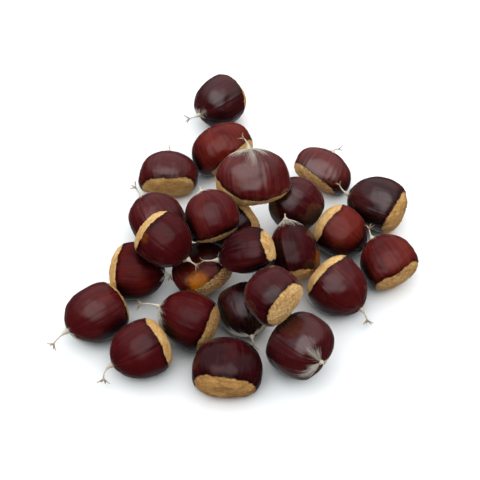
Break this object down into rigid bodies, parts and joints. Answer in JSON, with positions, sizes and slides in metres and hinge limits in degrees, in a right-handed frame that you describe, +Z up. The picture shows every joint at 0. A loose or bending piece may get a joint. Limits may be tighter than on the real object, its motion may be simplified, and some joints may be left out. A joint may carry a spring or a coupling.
{
  "type": "heap of chestnuts",
  "caption": "Loose heap of whole sweet chestnuts in glossy brown shells, each with a pale base scar and a dry tuft at its tip, lying as tipped out on a table.",
  "frame": {"origin": "middle of the heap's box, at the table that it lies on", "axes": "+Z up, -Y towards the side from which the picture was taken, +X to that side's right"},
  "size_m": [0.187, 0.2094, 0.0552],
  "materials": {
    "chestnut": "glossy brown shell, matt tan base scar"
  },
  "bodies": {
    "root": {"nut_01": "chestnut", "nut_02": "chestnut", "nut_03": "chestnut", "nut_04": "chestnut", "nut_05": "chestnut", "nut_06": "chestnut", "nut_07": "chestnut", "nut_08": "chestnut", "nut_09": "chestnut", "nut_10": "chestnut", "nut_11": "chestnut", "nut_12": "chestnut", "nut_13": "chestnut", "nut_14": "chestnut", "nut_15": "chestnut", "nut_16": "chestnut", "nut_17": "chestnut", "nut_18": "chestnut", "nut_19": "chestnut", "nut_20": "chestnut", "nut_21": "chestnut", "nut_22": "chestnut", "nut_23": "chestnut", "nut_24": "chestnut", "nut_25": "chestnut"}
  },
  "joints": []
}
